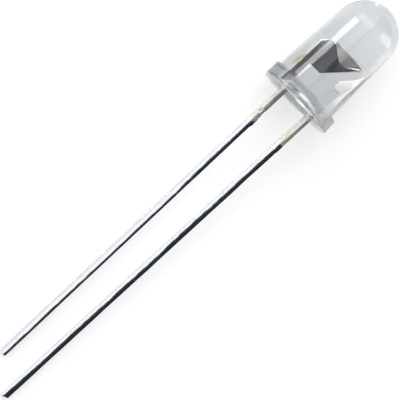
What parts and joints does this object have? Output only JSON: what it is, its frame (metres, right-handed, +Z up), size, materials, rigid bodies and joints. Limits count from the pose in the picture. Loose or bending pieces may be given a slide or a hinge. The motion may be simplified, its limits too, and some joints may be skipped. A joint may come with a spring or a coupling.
{
  "type": "through hole led",
  "caption": "Clear domed through-hole LED: flanged epoxy body around a cupped cathode anvil and an anode flag, with long straight leads, lying on its side.",
  "frame": {"origin": "centre of the flange's underside, on the LED's optical axis", "axes": "the LED lies on a level surface: +Z is up from that surface, +X is level and runs from the lead tips towards the dome, and +Y is towards the cathode lead"},
  "size_m": [0.0364, 0.0057, 0.0059],
  "materials": {
    "clear_epoxy": "polished",
    "cathode_tin": "polished",
    "anode_tin": "polished",
    "semiconductor": "gloss",
    "silver_paste": "matte",
    "gold": "satin"
  },
  "bodies": {
    "root": {"lens": "clear_epoxy", "cathode_lead": "cathode_tin", "anode_lead": "anode_tin", "chip": "semiconductor", "die_attach": "silver_paste", "bond_wire": "gold"}
  },
  "joints": []
}
